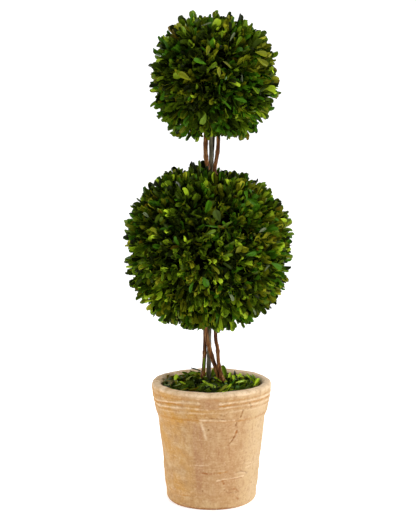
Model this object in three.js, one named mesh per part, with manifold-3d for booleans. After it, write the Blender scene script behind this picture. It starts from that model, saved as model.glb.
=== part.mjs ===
// Two-ball boxwood topiary in a hand-made terracotta pot.
// Millimetres, +Z up. The origin is the middle of the pot's flat underside.
import * as THREE from "three";
import { mergeVertices } from "three/addons/utils/BufferGeometryUtils.js";
import Module from "manifold-3d";

const wasm = await Module();
wasm.setup();

// ---- driving dimensions ----
const TOTAL_HEIGHT = 610;
const CLEARANCE = 0.3; // between pieces that touch on the real plant

const POT = {
  height: 151,
  footRadius: 57,
  rimRadius: 75,
  mouthRadius: 63.6,
  innerFootRadius: 49,
  floor: 10,
  sides: 40,
};
const FILL_TOP = 137;
const LITTER = { edge: 142, crown: 147, leaves: 56, leafLength: 25, leafWidth: 12, seed: 31 };

const LOWER_BALL = {
  centre: [-4.2, 0, 317],
  reach: 108,
  core: 83,
  sprigs: 53,
  turn: 0.45,
  seed: 29,
};
const UPPER_BALL = {
  centre: [2.2, 0, 526],
  reach: TOTAL_HEIGHT - 526,
  core: 60,
  sprigs: 32,
  turn: 0.15,
  seed: 5,
};
const BALL_LEAF = { length: 27, width: 16.5, thickness: 1.6 };
const LIMB_SIDES = 6;
const RING_SPACING = 14;

// ---- materials ----
const paint = (color, roughness) => new THREE.MeshStandardMaterial({ color, roughness, metalness: 0 });
const MATERIAL = {
  terracotta: paint(0xd6ae7c, 0.85),
  foam: paint(0x2b2a1c, 0.95),
  greyBark: paint(0x6f6a5c, 0.7),
  bark: paint(0x7a4a28, 0.65),
  darkBark: paint(0x2f2a20, 0.75),
  foliage: paint(0x3f6414, 0.5),
  litter: paint(0x35590f, 0.55),
};

// ---- seeded random numbers ----
function seeded(seed) {
  let state = seed >>> 0;
  const next = () => {
    state = (state + 0x6d2b79f5) >>> 0;
    let t = Math.imul(state ^ (state >>> 15), state | 1);
    t ^= t + Math.imul(t ^ (t >>> 7), t | 61);
    return ((t ^ (t >>> 14)) >>> 0) / 4294967296;
  };
  return { between: (low, high) => low + (high - low) * next() };
}

// ---- solids and meshes ----
function solidOf(geometry) {
  const bare = geometry.clone().deleteAttribute("normal").deleteAttribute("uv");
  const merged = mergeVertices(bare, 1e-4);
  return new wasm.Manifold(
    new wasm.Mesh({
      numProp: 3,
      vertProperties: new Float32Array(merged.attributes.position.array),
      triVerts: new Uint32Array(merged.index.array),
    }),
  );
}

function geometryOf(solid) {
  const made = solid.getMesh();
  const geometry = new THREE.BufferGeometry();
  geometry.setAttribute("position", new THREE.BufferAttribute(made.vertProperties, 3));
  geometry.setIndex(new THREE.BufferAttribute(made.triVerts, 1));
  geometry.computeVertexNormals();
  return geometry;
}

function meshOf(name, geometry, material) {
  const mesh = new THREE.Mesh(geometry, material);
  mesh.name = name;
  return mesh;
}

// A turned solid about +Z from [radius, height] points that start and end on the axis.
function turned(profile, sides) {
  const points = profile.map(([radius, height]) => new THREE.Vector2(radius, height));
  return new THREE.LatheGeometry(points, sides).rotateX(Math.PI / 2);
}

// ---- pot ----
const innerRadiusAt = (z) =>
  POT.innerFootRadius +
  ((POT.mouthRadius - POT.innerFootRadius) * (z - POT.floor)) / (POT.height - POT.floor);

function potProfile() {
  const { height, footRadius: foot, rimRadius: rim, mouthRadius: mouth } = POT;
  const footBand = [
    [foot - 3.8, 0],
    [foot - 1.4, 1.1],
    [foot, 14.5],
  ];
  const lowRidge = [
    [foot + 2.1, 22],
    [foot + 2.2, 34],
    [foot + 3.7, 41],
    [foot + 3.8, 45],
    [foot + 3.4, 50],
  ];
  const bodyTop = [
    [foot + 9.7, 105],
    [rim - 6.8, 110.5],
  ];
  const rings = [
    [rim - 4.4, 114.5],
    [rim - 3.2, 121.5],
    [rim - 2.4, 125.5],
    [rim - 1.8, 128.6],
    [rim - 2.6, 130],
    [rim - 1.4, 132.5],
    [rim - 0.9, 138.4],
    [rim - 1.7, 140],
    [rim - 0.4, 142.5],
  ];
  const crown = [
    [rim, 145.5],
    [rim - 1.4, height - 2],
    [rim - 4.6, height],
    [mouth + 3, height - 0.6],
    [mouth + 0.6, height - 2.6],
    [innerRadiusAt(height - 7), height - 7],
  ];
  const inside = [
    [POT.innerFootRadius + 1.5, POT.floor + 4],
    [POT.innerFootRadius - 4, POT.floor],
    [0, POT.floor],
  ];
  return [[0, 0], ...footBand, ...lowRidge, ...bodyTop, ...rings, ...crown, ...inside];
}

// ---- limbs: a cylinder bent along a curve, tapering from its foot to its tip ----
// The trunk stands on the fill and reaches the middle of the upper ball. Thinner stems lean on it.
const LIMBS = [
  {
    name: "trunk",
    material: MATERIAL.greyBark,
    foot: 2.3,
    tip: 2.4,
    points: [
      [-4, 0, 130],
      [-3.6, 0, 166],
      [-1.8, 0, 319],
      [-0.7, 0, 430],
      [0.6, 0, 540],
    ],
  },
  {
    name: "stem_left",
    material: MATERIAL.bark,
    foot: 2.4,
    tip: 2.8,
    points: [
      [-12.4, -3, 130],
      [-11.4, -2.6, 152],
      [-9.4, -2, 170],
      [-8.2, -1.8, 192],
      [-7.8, -2, 212],
      [-7.6, -5, 280],
      [-4, -7.6, 390],
      [-4, -6.6, 412],
      [-6.6, -4, 428],
      [-7.2, -3.2, 441],
      [-6.9, -2.6, 455],
      [-6.4, -2.4, 486],
    ],
  },
  {
    name: "stem_right",
    material: MATERIAL.bark,
    foot: 2.3,
    tip: 2.4,
    points: [
      [20, -18, 130],
      [17, -14.6, 148],
      [12.4, -12.4, 160],
      [8.9, -11, 175],
      [7.4, -9.4, 194],
      [5, -7.6, 212],
      [5, -8, 280],
      [8.4, -8.4, 390],
      [3.8, -6.8, 412],
      [6.4, -4, 430],
      [7.8, -3.2, 441],
      [8.4, -2.8, 455],
      [8.4, -2.6, 486],
    ],
  },
  {
    name: "stem_cross",
    material: MATERIAL.bark,
    foot: 2.7,
    tip: 2.5,
    points: [
      [13.4, -7, 130],
      [9.8, -6.4, 152],
      [5.7, -6, 167],
      [2.3, -6, 177],
      [-1.3, -6.3, 189],
      [-5.4, -7.4, 207],
      [-7.4, -9.6, 224],
      [-8.8, -11.2, 250],
    ],
  },
  {
    name: "stem_rear",
    material: MATERIAL.darkBark,
    foot: 1.8,
    tip: 1.3,
    points: [
      [-2.6, 6.6, 130],
      [-2.2, 6, 166],
      [-1.6, 5.2, 210],
      [-0.6, 5, 320],
      [1.1, 4.6, 423],
      [2.2, 4.4, 441],
      [2.9, 4.6, 455],
      [3.6, 5.4, 486],
    ],
  },
];

const curveOf = (limb) =>
  new THREE.CatmullRomCurve3(limb.points.map((point) => new THREE.Vector3(...point)));

// grown widens the limb and lengthens its ends, for the hole that it stands in.
function limbGeometry(limb, grown = 0) {
  const curve = curveOf(limb);
  const rings = Math.round(curve.getLength() / RING_SPACING);
  const frames = curve.computeFrenetFrames(rings, false);
  const geometry = new THREE.CylinderGeometry(1, 1, 1, LIMB_SIDES, rings);
  const position = geometry.attributes.position;
  const place = new THREE.Vector3();
  for (let i = 0; i < position.count; i++) {
    const share = position.getY(i) + 0.5;
    const ring = Math.round(share * rings);
    const radius = limb.foot + (limb.tip - limb.foot) * share + grown;
    place.copy(curve.getPointAt(ring / rings));
    place.addScaledVector(frames.binormals[ring], position.getX(i) * radius);
    place.addScaledVector(frames.normals[ring], position.getZ(i) * radius);
    if (ring === 0) place.addScaledVector(frames.tangents[0], -grown);
    if (ring === rings) place.addScaledVector(frames.tangents[rings], grown);
    position.setXYZ(i, place.x, place.y, place.z);
  }
  return geometry;
}

// Every limb is cut flat where it stands on the fill.
const limbSolid = (limb) => solidOf(limbGeometry(limb)).trimByPlane([0, 0, 1], FILL_TOP + CLEARANCE);

const sockets = LIMBS.map((limb) => solidOf(limbGeometry(limb, CLEARANCE)));

// Fused pieces with the limbs' sockets cut out, and slivers under SLIVER long closed up.
const SLIVER = 0.05;
const fused = (pieces) =>
  sockets
    .reduce((rest, socket) => rest.subtract(socket), wasm.Manifold.union(pieces.map(solidOf)))
    .simplify(SLIVER);

// Points along every limb with the room that leaves keep from them.
const LIMB_ROOM = 4.4;
const limbPoints = LIMBS.flatMap((limb) => curveOf(limb).getSpacedPoints(80));
const nearLimb = (point, room = LIMB_ROOM) =>
  limbPoints.some((other) => other.distanceTo(point) < room);

// ---- leaves and twigs ----
// A boxwood leaf along +Z, its root at the origin: four outline points, broadest past the middle,
// and a ridge on each side.
const LEAF_OUTLINE = [
  [0, 0],
  [0.5, 0.66],
  [0, 1],
  [-0.5, 0.66],
];
function leafGeometry(length, width, thickness) {
  const points = LEAF_OUTLINE.map(([across, along]) => [across * width, 0, along * length]);
  const ridge = 0.66 * length;
  points.push([0, thickness / 2, ridge], [0, -thickness / 2, ridge]);
  const front = points.length - 2;
  const back = points.length - 1;
  const faces = LEAF_OUTLINE.flatMap((_, i) => {
    const after = (i + 1) % LEAF_OUTLINE.length;
    return [i, front, after, after, back, i];
  });
  const geometry = new THREE.BufferGeometry();
  geometry.setAttribute("position", new THREE.Float32BufferAttribute(points.flat(), 3));
  geometry.setIndex(faces);
  return geometry;
}

// A three-sided twig along +Z.
const twigGeometry = (length, root, tip) =>
  new THREE.CylinderGeometry(tip, root, length, 3).rotateX(Math.PI / 2).translate(0, 0, length / 2);

// The frame that stands at a point with +Z along a direction, turned by roll about it.
function standing(point, direction, roll) {
  const upright = new THREE.Vector3(0, 0, 1);
  const turn = new THREE.Quaternion().setFromUnitVectors(upright, direction);
  turn.multiply(new THREE.Quaternion().setFromAxisAngle(upright, roll));
  return new THREE.Matrix4().compose(point, turn, new THREE.Vector3(1, 1, 1));
}

// A direction leant from another by an angle, towards a bearing about it.
function leant(direction, angle, bearing) {
  const frame = standing(new THREE.Vector3(), direction, bearing);
  return new THREE.Vector3(Math.sin(angle), 0, Math.cos(angle)).transformDirection(frame);
}

// ---- clipped balls ----
const GOLDEN_ANGLE = Math.PI * (3 - Math.sqrt(5));
const TWIG = { sunk: 7, root: 1.6, tip: 1 };
const CORE_DETAIL = 2;
const TIP_SPREAD = 4;
const PAIR_LEANS = [0.95, 0.6]; // how far each pair leans out from the twig, in radians

// Sites spread evenly from pole to pole, turned about the vertical, each nudged a little.
function sprigSite(index, ball, random) {
  const height = 1 - (2 * index) / (ball.sprigs - 1);
  const ring = Math.sqrt(Math.max(0, 1 - height * height));
  const bearing = ball.turn + index * GOLDEN_ANGLE;
  const site = new THREE.Vector3(ring * Math.cos(bearing), ring * Math.sin(bearing), height);
  return leant(site, random.between(0, 0.06), random.between(0, 2 * Math.PI));
}

// One sprig: a twig out of the core with a leaf on its tip and two crossed pairs of leaves round it.
function sprig(site, centre, ball, random) {
  const at = (radius) => centre.clone().addScaledVector(site, radius);
  const reach = ball.reach - TIP_SPREAD * random.between(0, 1) ** 2;
  const roll = random.between(0, 2 * Math.PI);
  const size = random.between(0.92, 1.08);
  const length = BALL_LEAF.length * size;
  const width = BALL_LEAF.width * size;
  const twigRoot = ball.core - TWIG.sunk;
  const twigTip = reach - 0.8 * length;
  if (nearLimb(at(twigTip), LIMB_ROOM + TWIG.root)) return [];

  const twig = twigGeometry(twigTip - twigRoot, TWIG.root, TWIG.tip);
  const pieces = [twig.applyMatrix4(standing(at(twigRoot), site, roll + 0.4))];
  const leaves = [{ root: reach - length, lean: random.between(0, 0.15), bearing: roll }];
  PAIR_LEANS.forEach((lean, pair) => {
    for (const side of [0, Math.PI]) {
      const bearing = roll + (pair * Math.PI) / 2 + side;
      leaves.push({ root: ball.core - 4, lean: lean + random.between(-0.1, 0.1), bearing });
    }
  });
  for (const leaf of leaves) {
    const direction = leant(site, leaf.lean, leaf.bearing);
    const foot = at(leaf.root);
    const tip = foot.clone().addScaledVector(direction, length);
    const middle = foot.clone().lerp(tip, 0.5);
    const room = LIMB_ROOM + width / 2;
    if (tip.distanceTo(centre) > ball.reach || nearLimb(tip, room) || nearLimb(middle, room)) continue;
    const blade = leafGeometry(length, width, BALL_LEAF.thickness);
    pieces.push(blade.applyMatrix4(standing(foot, direction, leaf.bearing + Math.PI / 2)));
  }
  return pieces;
}

function ballSolid(ball) {
  const random = seeded(ball.seed);
  const centre = new THREE.Vector3(...ball.centre);
  const core = new THREE.IcosahedronGeometry(ball.core, CORE_DETAIL).translate(...ball.centre);
  const pieces = [core];
  for (let i = 0; i < ball.sprigs; i++) {
    pieces.push(...sprig(sprigSite(i, ball, random), centre, ball, random));
  }
  return fused(pieces);
}

// ---- leaf litter over the fill ----
function litterSolid() {
  const random = seeded(LITTER.seed);
  const rim = innerRadiusAt(FILL_TOP) - CLEARANCE - 0.2;
  const bottom = FILL_TOP + CLEARANCE;
  const bed = turned(
    [
      [0, bottom],
      [rim, bottom],
      [rim, LITTER.edge],
      [rim * 0.55, (LITTER.edge + 2 * LITTER.crown) / 3],
      [0, LITTER.crown],
    ],
    POT.sides,
  );
  const pieces = [bed];
  for (let i = 0; i < LITTER.leaves; i++) {
    const share = Math.sqrt((i + 0.5) / LITTER.leaves);
    const bearing = i * GOLDEN_ANGLE;
    const out = share * (rim - 4);
    const bedTop = LITTER.crown + (LITTER.edge - LITTER.crown) * share;
    const foot = new THREE.Vector3(out * Math.cos(bearing), out * Math.sin(bearing), bedTop - 3);
    const heading = random.between(0, 2 * Math.PI);
    const rise = random.between(0.25, 0.55);
    const direction = new THREE.Vector3(
      Math.cos(heading) * Math.cos(rise),
      Math.sin(heading) * Math.cos(rise),
      Math.sin(rise),
    );
    const length = LITTER.leafLength * random.between(0.8, 1.1);
    const tip = foot.clone().addScaledVector(direction, length);
    const middle = foot.clone().lerp(tip, 0.5);
    const wide = LITTER.leafWidth / 2;
    if (Math.hypot(tip.x, tip.y) > rim - wide || Math.hypot(middle.x, middle.y) > rim - wide) continue;
    if (nearLimb(tip, LIMB_ROOM + wide) || nearLimb(middle, LIMB_ROOM + wide)) continue;
    const frame = new THREE.Matrix4().makeBasis(
      new THREE.Vector3(-Math.sin(heading), Math.cos(heading), 0),
      new THREE.Vector3(-Math.sin(heading), Math.cos(heading), 0).cross(direction).negate(),
      direction,
    );
    const blade = leafGeometry(length, LITTER.leafWidth, BALL_LEAF.thickness);
    pieces.push(blade.applyMatrix4(frame.setPosition(foot)));
  }
  return fused(pieces);
}

// ---- fill: the block under the litter that the trunk and stems stand on ----
function fillGeometry() {
  const floor = POT.floor + CLEARANCE;
  const inset = CLEARANCE + 0.2;
  return turned(
    [
      [0, floor],
      [POT.innerFootRadius - 4 - inset, floor],
      [innerRadiusAt(POT.floor + 8) - inset, floor + 8],
      [innerRadiusAt(FILL_TOP) - inset, FILL_TOP],
      [0, FILL_TOP],
    ],
    POT.sides,
  );
}

// ---- the whole plant ----
const topiary = new THREE.Group();
topiary.add(
  meshOf("pot", turned(potProfile(), POT.sides), MATERIAL.terracotta),
  meshOf("fill", fillGeometry(), MATERIAL.foam),
  meshOf("leaf_litter", geometryOf(litterSolid()), MATERIAL.litter),
  ...LIMBS.map((limb) => meshOf(limb.name, geometryOf(limbSolid(limb)), limb.material)),
  meshOf("lower_ball", geometryOf(ballSolid(LOWER_BALL)), MATERIAL.foliage),
  meshOf("upper_ball", geometryOf(ballSolid(UPPER_BALL)), MATERIAL.foliage),
);

export default topiary;
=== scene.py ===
"""Two-ball boxwood topiary in an aged terracotta pot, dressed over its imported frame.

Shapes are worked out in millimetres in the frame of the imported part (+Z up, origin under the
pot, camera on the -Y side) and turned into metres when a mesh is made.
"""

import math

import bpy
import numpy as np
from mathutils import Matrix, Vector, noise


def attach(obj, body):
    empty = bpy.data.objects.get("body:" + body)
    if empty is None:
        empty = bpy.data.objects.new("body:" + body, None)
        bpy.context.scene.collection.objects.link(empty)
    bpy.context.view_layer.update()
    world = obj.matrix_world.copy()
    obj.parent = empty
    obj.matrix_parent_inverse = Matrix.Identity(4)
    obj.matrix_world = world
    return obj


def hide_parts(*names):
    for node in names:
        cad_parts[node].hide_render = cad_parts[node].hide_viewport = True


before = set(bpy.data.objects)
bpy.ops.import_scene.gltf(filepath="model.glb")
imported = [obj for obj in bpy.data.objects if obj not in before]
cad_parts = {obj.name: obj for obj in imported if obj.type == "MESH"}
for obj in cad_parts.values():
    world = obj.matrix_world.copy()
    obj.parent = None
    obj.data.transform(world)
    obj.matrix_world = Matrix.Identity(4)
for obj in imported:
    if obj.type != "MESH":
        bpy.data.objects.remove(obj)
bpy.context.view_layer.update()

MM = 0.001
TAU = 2 * math.pi
GOLDEN_ANGLE = math.pi * (3 - math.sqrt(5))

# ---- sizes in millimetres, close to those of the part's source ----
POT_HEIGHT = 151
LIP_START = 145.5
RIM_RADIUS = 75.0
MOUTH_RADIUS = 63.6
INNER_FOOT_RADIUS = 49
POT_FLOOR = 10
FILL_TOP = 137
LITTER_RADIUS = 62
LITTER_EDGE = 142
LITTER_CROWN = 147.5

# reach is the radius to the furthest leaf tips, core that of the dark inside, leaf the mean length
# of a leaf, and spread how far the sprays' tips differ in height. swell is how much further the
# tips reach round the outline seen from the front, every 20 degrees counter-clockwise from the right.
LOWER_BALL = {
    "name": "lower", "centre": (-4.2, 0.0, 317.0), "reach": 109.5, "core": 77,
    "sprigs": 800, "leaf": 16.2, "spread": 8.5, "seed": 7,
    "swell": [-3, 2, 2, -3.5, -6.5, 1, 4, 4, 0, -3, -1.5, 0, 2, -5, -3.5, -0.5, 0, 1.5],
}
UPPER_BALL = {
    "name": "upper", "centre": (2.2, 0.0, 525.4), "reach": 84.5, "core": 52,
    "sprigs": 400, "leaf": 18.0, "spread": 10.0, "seed": 19,
    "swell": [-3.5, 0, 1, 1.5, 2.5, -1, 4.5, 2, -3.5, -3, -2.5, 2, 3.5, -9, -7, 4, 3, 0.5],
}

# Trunk and stems: slot, radius at the foot and the tip, knots (height and swelling), and the way up.
LIMBS = {
    "trunk": (
        "grey_bark", 2.3, 2.4, [(172, 0.25), (447, 0.3)],
        [(-4, 0, 130), (-3.6, 0, 166), (-1.8, 0, 319), (-0.7, 0, 430), (0.6, 0, 540)],
    ),
    "stem_left": (
        "brown_bark", 2.4, 2.8, [(158, 0.5), (186, 0.35), (431, 0.5), (447, 0.4)],
        [
            (-12.4, -3, 130), (-11.4, -2.6, 152), (-9.4, -2, 170), (-8.2, -1.8, 192),
            (-7.8, -2, 212), (-7.6, -5, 280), (-4, -7.6, 390), (-4, -6.6, 412), (-6.6, -4, 428),
            (-7.2, -3.2, 441), (-6.9, -2.6, 455), (-6.4, -2.4, 486),
        ],
    ),
    "stem_right": (
        "brown_bark", 2.3, 2.4, [(152, 0.7), (171, 0.5), (190, 0.5), (409, 0.9), (437, 0.45)],
        [
            (20, -18, 130), (17, -14.6, 148), (12.4, -12.4, 160), (8.9, -11, 175),
            (7.4, -9.4, 194), (5, -7.6, 212), (5, -8, 280), (8.4, -8.4, 390), (3.8, -6.8, 412),
            (6.4, -4, 430), (7.8, -3.2, 441), (8.4, -2.8, 455), (8.4, -2.6, 486),
        ],
    ),
    "stem_cross": (
        "brown_bark", 2.7, 2.5, [(165, 0.5), (183, 0.4), (199, 0.4)],
        [
            (13.4, -7, 130), (9.8, -6.4, 152), (5.7, -6, 167), (2.3, -6, 177),
            (-1.3, -6.3, 189), (-5.4, -7.4, 207), (-7.4, -9.6, 224), (-8.8, -11.2, 250),
        ],
    ),
    "stem_rear": (
        "dark_bark", 1.8, 1.3, [(180, 0.3), (432, 0.3)],
        [
            (-2.6, 6.6, 130), (-2.2, 6, 166), (-1.6, 5.2, 210), (-0.6, 5, 320), (1.1, 4.6, 423),
            (2.2, 4.4, 441), (2.9, 4.6, 455), (3.6, 5.4, 486),
        ],
    ),
}


# ---- colours ----
def srgb(red, green, blue):
    """A display colour (0 to 255) as linear light."""
    shares = [channel / 255 for channel in (red, green, blue)]
    return tuple(s / 12.92 if s < 0.04 else ((s + 0.055) / 1.055) ** 2.4 for s in shares)


# The last leaf colour is painted light: whitish leaves that stand in for glints of shine on glossy
# leaves.
LEAF_COLOURS = {
    "deep": (30, 39, 5), "dark": (59, 76, 11), "mid": (97, 122, 20),
    "fresh": (64, 107, 14), "bright": (172, 199, 44), "olive": (112, 118, 20),
    "gold": (160, 161, 36), "brown": (104, 90, 12), "painted_light": (112, 122, 88),
}
COLOUR_NAMES = list(LEAF_COLOURS)

# ---- camera ----
camera_data = bpy.data.cameras.new("camera")
camera_data.sensor_width = 36
camera_data.lens = 84.3
camera = bpy.data.objects.new("camera", camera_data)
camera.location = (-4.3 * MM, -1500 * MM, 490 * MM)
camera.rotation_euler = (math.radians(90 - 7.11), 0, 0)
bpy.context.scene.collection.objects.link(camera)
bpy.context.scene.camera = camera


# ---- materials ----
class Shader:
    """A Principled material with short ways to add nodes."""

    def __init__(self, name, roughness, colour=(0.5, 0.5, 0.5), specular=0.5):
        self.material = bpy.data.materials.new(name)
        self.material.use_nodes = True
        self.tree = self.material.node_tree
        self.surface = self.tree.nodes["Principled BSDF"]
        self.surface.inputs["Base Color"].default_value = (*colour, 1)
        self.surface.inputs["Roughness"].default_value = roughness
        self.surface.inputs["Specular IOR Level"].default_value = specular

    def add(self, kind, **inputs):
        node = self.tree.nodes.new(kind)
        for name, value in inputs.items():
            self.put(node.inputs[name.replace("_", " ")], value)
        return node

    def put(self, socket, value):
        if isinstance(value, bpy.types.NodeSocket):
            self.tree.links.new(value, socket)
        elif isinstance(value, tuple) and len(value) == 3 and socket.type == "RGBA":
            socket.default_value = (*value, 1)
        else:
            socket.default_value = value

    def attribute(self, name):
        node = self.add("ShaderNodeAttribute")
        node.attribute_name = name
        return node.outputs["Fac"]

    def noise(self, size, detail=3.0, stretch=(1, 1, 1), offset=0.0):
        """Noise with features of about size mm, stretched along the axes."""
        place = self.add("ShaderNodeTexCoord").outputs["Object"]
        mapping = self.add("ShaderNodeMapping", Vector=place)
        scale = 1 / (size * MM)
        mapping.inputs["Scale"].default_value = [scale / part for part in stretch]
        mapping.inputs["Location"].default_value = (offset, offset * 1.7, offset * 0.6)
        made = self.add("ShaderNodeTexNoise", Vector=mapping.outputs[0], Scale=1.0, Detail=detail)
        return made.outputs["Fac"]

    def span(self, value, low, high, to_low=0.0, to_high=1.0):
        """The value taken from between low and high to between to_low and to_high."""
        ends = {"From_Min": low, "From_Max": high, "To_Min": to_low, "To_Max": to_high}
        return self.add("ShaderNodeMapRange", Value=value, **ends).outputs["Result"]

    def times(self, first, second):
        node = self.add("ShaderNodeMath")
        node.operation = "MULTIPLY"
        self.put(node.inputs[0], first)
        self.put(node.inputs[1], second)
        return node.outputs[0]

    def mix(self, share, first, second):
        """The first colour, with that share of the second."""
        node = self.tree.nodes.new("ShaderNodeMix")
        node.data_type = "RGBA"
        self.put(node.inputs[0], share)
        self.put(node.inputs[6], first)
        self.put(node.inputs[7], second)
        return node.outputs[2]

    def paint(self, colour):
        self.put(self.surface.inputs["Base Color"], colour)

    def rough(self, value):
        self.put(self.surface.inputs["Roughness"], value)

    def bump(self, height, strength, distance):
        node = self.add("ShaderNodeBump", Height=height, Strength=strength, Distance=distance * MM)
        self.put(self.surface.inputs["Normal"], node.outputs["Normal"])


def terracotta_material():
    """Aged clay: ochre stains, pink rubbed places, cream ridges, dirt in grooves and cracks.

    The grooves' ochre is partly painted shade and the ridges' cream partly painted highlight; the
    right side and the lip's top are painted paler as light, and a dark line round the foot is painted
    shade.
    """
    shader = Shader("aged_terracotta", 0.85, specular=0.25)
    blotch = shader.noise(20, 5)
    mottle = shader.noise(9, 6, offset=4)
    fleck = shader.noise(2.4, 5, offset=7)
    brushed = shader.noise(4, 4, stretch=(4, 4, 0.4), offset=9)
    run = shader.noise(6, 4, stretch=(0.8, 0.8, 4.5), offset=2)

    # The fields of the skin, each broken up by noise: its span, and the share left where it is low.
    broken_up = {
        "stain": (blotch, 0.36, 0.6, 0),
        "pink": (run, 0.3, 0.55, 0.3),
        "ochre": (mottle, 0.3, 0.55, 0.4),
        "cream": (mottle, 0.35, 0.55, 0.4),
        "rust": (fleck, 0.36, 0.56, 0.35),
        "brown": (fleck, 0.36, 0.56, 0.3),
    }
    field = {
        name: shader.times(shader.attribute(name), shader.span(pattern, low, high, least))
        for name, (pattern, low, high, least) in broken_up.items()
    }
    # Layers of colour over the ground, from the lowest up.
    layers = [
        (shader.span(mottle, 0.46, 0.62, 0, 0.7), (200, 168, 124)),
        (field["stain"], (188, 138, 64)),
        (field["pink"], (174, 130, 92)),
        (shader.span(brushed, 0.54, 0.68, 0, 0.4), (204, 174, 132)),
        (shader.span(run, 0.54, 0.7, 0, 0.4), (164, 118, 74)),
        (shader.span(mottle, 0.3, 0.42, 0.45, 0), (160, 116, 70)),
        (field["ochre"], (174, 116, 44)),
        (field["cream"], (230, 204, 170)),
        (shader.span(fleck, 0.55, 0.7, 0, 0.42), (146, 98, 56)),
        (shader.span(fleck, 0.28, 0.44, 0.45, 0), (212, 184, 142)),
        (field["rust"], (148, 86, 42)),
        (field["brown"], (96, 56, 32)),
    ]
    # The ground turns paler over the right side, where the key lamp falls: painted light.
    colour = shader.mix(shader.attribute("painted_light"), srgb(184, 146, 101), srgb(206, 177, 138))
    for share, layer in layers:
        colour = shader.mix(share, colour, srgb(*layer))
    shader.paint(colour)
    shader.rough(shader.span(fleck, 0.3, 0.7, 0.78, 0.95))
    shader.bump(shader.mix(0.5, mottle, fleck), 0.5, 0.8)
    return shader.material


def bark_material(name, dark, base, light, roughness):
    """Bark with streaks along the stem."""
    shader = Shader(name, roughness, specular=0.18)
    streak = shader.noise(1.5, 5, stretch=(1, 1, 14))
    patch = shader.noise(9, 3, stretch=(1, 1, 2.4), offset=3)
    colour = shader.mix(shader.span(streak, 0.34, 0.6), dark, base)
    colour = shader.mix(shader.span(streak, 0.52, 0.72, 0, 0.85), colour, light)
    colour = shader.mix(shader.span(patch, 0.45, 0.7, 0, 0.6), colour, dark)
    shader.paint(colour)
    shader.rough(shader.span(streak, 0.3, 0.7, roughness + 0.12, roughness - 0.08))
    shader.bump(streak, 0.6, 0.5)
    return shader.material


def speckled_material(name, first, second, size, roughness):
    """A dull ground of two colours."""
    shader = Shader(name, roughness, specular=0.05)
    grain = shader.noise(size, 5)
    shader.paint(shader.mix(shader.span(grain, 0.4, 0.62), first, second))
    shader.bump(grain, 0.8, size * 0.4)
    return shader.material


def leaf_material(name, colour):
    """A leathery leaf in one plain colour, with a waxy shine."""
    return Shader(name, 0.3, srgb(*colour), specular=0.12).material


# The dark, main and light colour of each bark, and its roughness.
BARK_COLOURS = {
    "grey_bark": ((74, 70, 52), (158, 150, 120), (204, 194, 164), 0.62),
    "brown_bark": ((58, 25, 4), (130, 76, 24), (208, 158, 96), 0.5),
    "dark_bark": ((28, 26, 18), (54, 52, 36), (88, 82, 58), 0.7),
}

TERRACOTTA = terracotta_material()
BARK = {
    slot: bark_material(slot, srgb(*dark), srgb(*base), srgb(*light), roughness)
    for slot, (dark, base, light, roughness) in BARK_COLOURS.items()
}
# Near-black painted shade, for the inside of the balls and the bed under the litter.
PAINTED_SHADE = speckled_material("painted_shade_dark", srgb(3, 5, 1), srgb(13, 17, 4), 5, 1.0)
FOAM = speckled_material("dry_foam", srgb(44, 46, 30), srgb(66, 66, 44), 1.2, 0.95)
TWIG = Shader("twig", 0.7, srgb(62, 60, 20), specular=0.15).material
LEAF = {name: leaf_material("leaf_" + name, colour) for name, colour in LEAF_COLOURS.items()}


# ---- meshes ----
def add_mesh(name, vertices, faces, material):
    """An object with a mesh, in metres."""
    mesh = bpy.data.meshes.new(name)
    mesh.from_pydata(vertices, [], faces)
    mesh.materials.append(material)
    made = bpy.data.objects.new(name, mesh)
    bpy.context.scene.collection.objects.link(made)
    return made


def make_piece(name, vertices, faces, material, replaced):
    """A smooth mesh from vertices in millimetres, riding on the part in place of CAD nodes."""
    piece = add_mesh(name, np.asarray(vertices, float).reshape(-1, 3) * MM, faces, material)
    piece.data.shade_smooth()
    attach(piece, "root")
    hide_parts(*replaced)
    return piece


def grid_faces(rows, columns, closed):
    """Quads of a grid of rows by columns, joined round where it is closed."""
    across = np.arange(columns if closed else columns - 1)
    row = np.arange(rows - 1)[:, None] * columns
    here, after = row + across, row + (across + 1) % columns
    return np.stack([here, after, after + columns, here + columns], -1).reshape(-1, 4)


def closed_faces(rings, sides, inside_out=False):
    """Faces of a tube of rings by sides with both ends capped."""
    caps = [tuple(range(sides))[::-1], tuple((rings - 1) * sides + k for k in range(sides))]
    faces = [tuple(face) for face in grid_faces(rings, sides, True)] + caps
    return [face[::-1] for face in faces] if inside_out else faces


def repeated(faces, size, count):
    """The faces of one shape of size vertices, once for each of count shapes."""
    return (faces[None] + size * np.arange(count)[:, None, None]).reshape(-1, 4)


def circle(count):
    """Even angles all round."""
    return np.linspace(0, TAU, count, endpoint=False)


def round_points(radius, turn, height):
    """Points at that radius, turn and height round the Z axis."""
    return np.stack(np.broadcast_arrays(radius * np.cos(turn), radius * np.sin(turn), height), -1)


def on_spiral(index, radius, height):
    """A point of an even spiral round the Z axis."""
    bearing = index * GOLDEN_ANGLE
    return np.array([radius * math.cos(bearing), radius * math.sin(bearing), height])


def smooth_noise(points, size, seed):
    """Noise of about -1 to 1 at each point, with features of about size mm."""
    shift = Vector((seed * 7.31, seed * -3.17, seed * 11.3))
    flat = np.asarray(points, float).reshape(-1, 3) / size
    values = [noise.noise(Vector(point) + shift) for point in flat]
    return np.array(values).reshape(np.shape(points)[:-1])


def bell(distance, width):
    """1 in the middle, falling away over width."""
    return np.exp(-((distance / width) ** 2))


def between(value, low, high, edge):
    """1 from low to high and 0 outside, with soft edges."""
    rise = np.clip((value - low) / edge + 0.5, 0, 1)
    fall = np.clip((high - value) / edge + 0.5, 0, 1)
    return rise * rise * (3 - 2 * rise) * fall * fall * (3 - 2 * fall)


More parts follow.
